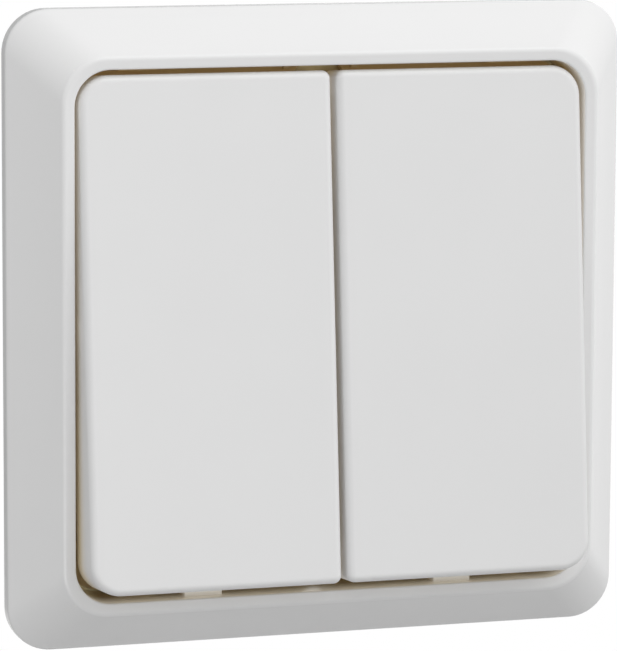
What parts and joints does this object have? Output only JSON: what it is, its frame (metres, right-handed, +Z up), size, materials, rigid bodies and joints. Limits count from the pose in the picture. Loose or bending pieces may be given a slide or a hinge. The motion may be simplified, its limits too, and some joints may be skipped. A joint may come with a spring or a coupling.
{
  "type": "push button light switch",
  "caption": "Flush wall switch: square bevelled cover frame round side-by-side push buttons that rock and spring back, steel support ring and contact housing behind.",
  "frame": {"origin": "middle between the box-screw holes, on the wall plane at the back of the support ring and frame", "axes": "+Z up, +X to the right as seen from the room, +Y into the wall; the buttons face -Y"},
  "size_m": [0.08, 0.0401, 0.08],
  "materials": {
    "frame_white": "glossy moulded, polished tool",
    "button_white": "semi-gloss moulded",
    "moulding_white": "plain moulded",
    "zinc_steel": "zinc plated",
    "body_grey": "plain moulded",
    "plunger_black": "plain moulded",
    "contact_brass": "stamped strip",
    "spring_steel": "bright wire and sheet",
    "release_grey": "plain moulded"
  },
  "bodies": {
    "housing": {"cover_frame": "frame_white", "bearing_plate": "moulding_white", "support_ring": "zinc_steel", "insert_base": "body_grey", "fixing_screws": "zinc_steel", "terminal_common": "contact_brass", "terminal_left": "contact_brass", "terminal_right": "contact_brass", "clamp_spring_left": "spring_steel", "clamp_spring_common": "spring_steel", "clamp_spring_right": "spring_steel", "return_spring_left": "spring_steel", "return_spring_right": "spring_steel", "terminal_cover_left": "body_grey", "terminal_cover_common": "body_grey", "terminal_cover_right": "body_grey"},
    "button_left": {"rocker_left": "button_white", "actuator_left": "moulding_white"},
    "button_right": {"rocker_right": "button_white", "actuator_right": "moulding_white"},
    "plunger_left": {"plunger_left": "plunger_black", "contact_bridge_left": "contact_brass"},
    "plunger_right": {"plunger_right": "plunger_black", "contact_bridge_right": "contact_brass"},
    "release_left": {"release_button_left": "release_grey"},
    "release_common": {"release_button_common": "release_grey"},
    "release_right": {"release_button_right": "release_grey"}
  },
  "joints": [
    {"name": "button_left", "type": "hinge", "parent": "housing", "child": "button_left", "pos_m": [0, -0.006, 0], "axis": [1, 0, 0], "range_deg": [0, 9], "stiffness_Nm_per_rad": 0.15, "springref_deg": -17.19},
    {"name": "plunger_left", "type": "slide", "parent": "housing", "child": "plunger_left", "axis": [0, 1, 0], "range_m": [0, 0.0016], "deforming": ["return_spring_left"]},
    {"name": "button_right", "type": "hinge", "parent": "housing", "child": "button_right", "pos_m": [0, -0.006, 0], "axis": [1, 0, 0], "range_deg": [0, 9], "stiffness_Nm_per_rad": 0.15, "springref_deg": -17.19},
    {"name": "plunger_right", "type": "slide", "parent": "housing", "child": "plunger_right", "axis": [0, 1, 0], "range_m": [0, 0.0016], "deforming": ["return_spring_right"]},
    {"name": "release_left", "type": "slide", "parent": "housing", "child": "release_left", "axis": [0, -1, 0], "range_m": [0, 0.0012], "stiffness_N_per_m": 300, "springref_m": -0.003, "deforming": ["clamp_spring_left"]},
    {"name": "release_common", "type": "slide", "parent": "housing", "child": "release_common", "axis": [0, -1, 0], "range_m": [0, 0.0012], "stiffness_N_per_m": 300, "springref_m": -0.003, "deforming": ["clamp_spring_common"]},
    {"name": "release_right", "type": "slide", "parent": "housing", "child": "release_right", "axis": [0, -1, 0], "range_m": [0, 0.0012], "stiffness_N_per_m": 300, "springref_m": -0.003, "deforming": ["clamp_spring_right"]}
  ],
  "couplings": [
    {"joint": "plunger_left", "follows": "button_left", "m_per_rad": 0.01},
    {"joint": "plunger_right", "follows": "button_right", "m_per_rad": 0.01}
  ]
}
